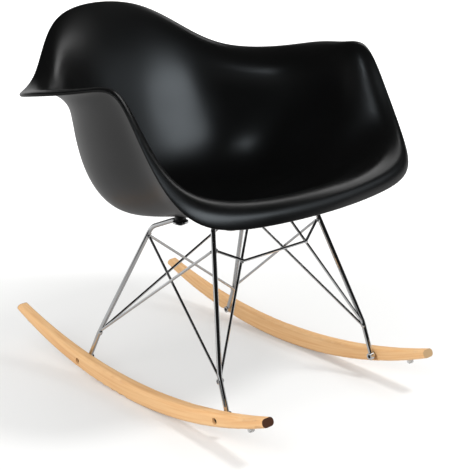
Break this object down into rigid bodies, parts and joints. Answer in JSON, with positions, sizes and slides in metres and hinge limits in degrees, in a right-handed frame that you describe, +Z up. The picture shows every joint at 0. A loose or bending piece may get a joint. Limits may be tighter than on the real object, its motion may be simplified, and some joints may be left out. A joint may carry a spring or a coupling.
{
  "type": "rocking chair",
  "caption": "One-piece bucket seat with high back and flared arms, held on a welded wire base that stands on two curved wooden rockers",
  "frame": {"origin": "on the floor, midway between the rockers, under the line where they touch the floor at rest", "axes": "+Z up, the sitter faces -Y, +X is the sitter's left"},
  "size_m": [0.6258, 0.6946, 0.629],
  "materials": {
    "shell_plastic": "satin moulded polypropylene, black",
    "beech": "clear-lacquered honey beech",
    "chrome": "polished chrome-plated steel rod",
    "black_rubber": "matt black rubber",
    "clear_plastic": "clear to whitish plastic",
    "brass": "plain brass",
    "dark_steel": "dark steel screw"
  },
  "bodies": {
    "root": {"front_crossbar": "chrome", "front_ferrule_left": "chrome", "front_ferrule_right": "chrome", "front_glide_left": "clear_plastic", "front_glide_right": "clear_plastic", "front_leg_left": "chrome", "front_leg_right": "chrome", "front_strut_left": "chrome", "front_strut_right": "chrome", "front_tie": "chrome", "glide_screws": "dark_steel", "mount_pad_front_left": "black_rubber", "mount_pad_front_right": "black_rubber", "mount_pad_rear_left": "black_rubber", "mount_pad_rear_right": "black_rubber", "mount_plate_front_left": "chrome", "mount_plate_front_right": "chrome", "mount_plate_rear_left": "chrome", "mount_plate_rear_right": "chrome", "rear_brace_a": "chrome", "rear_brace_b": "chrome", "rear_ferrule_left": "chrome", "rear_ferrule_right": "chrome", "rear_glide_left": "clear_plastic", "rear_glide_right": "clear_plastic", "rear_leg_left": "chrome", "rear_leg_right": "chrome", "rocker_bolts": "chrome", "rocker_left": "beech", "rocker_right": "beech", "seat_inserts": "brass", "seat_rail_left": "chrome", "seat_rail_right": "chrome", "seat_screws": "chrome", "seat_shell": "shell_plastic", "side_brace_down_left": "chrome", "side_brace_down_right": "chrome", "side_brace_up_left": "chrome", "side_brace_up_right": "chrome"}
  },
  "joints": []
}
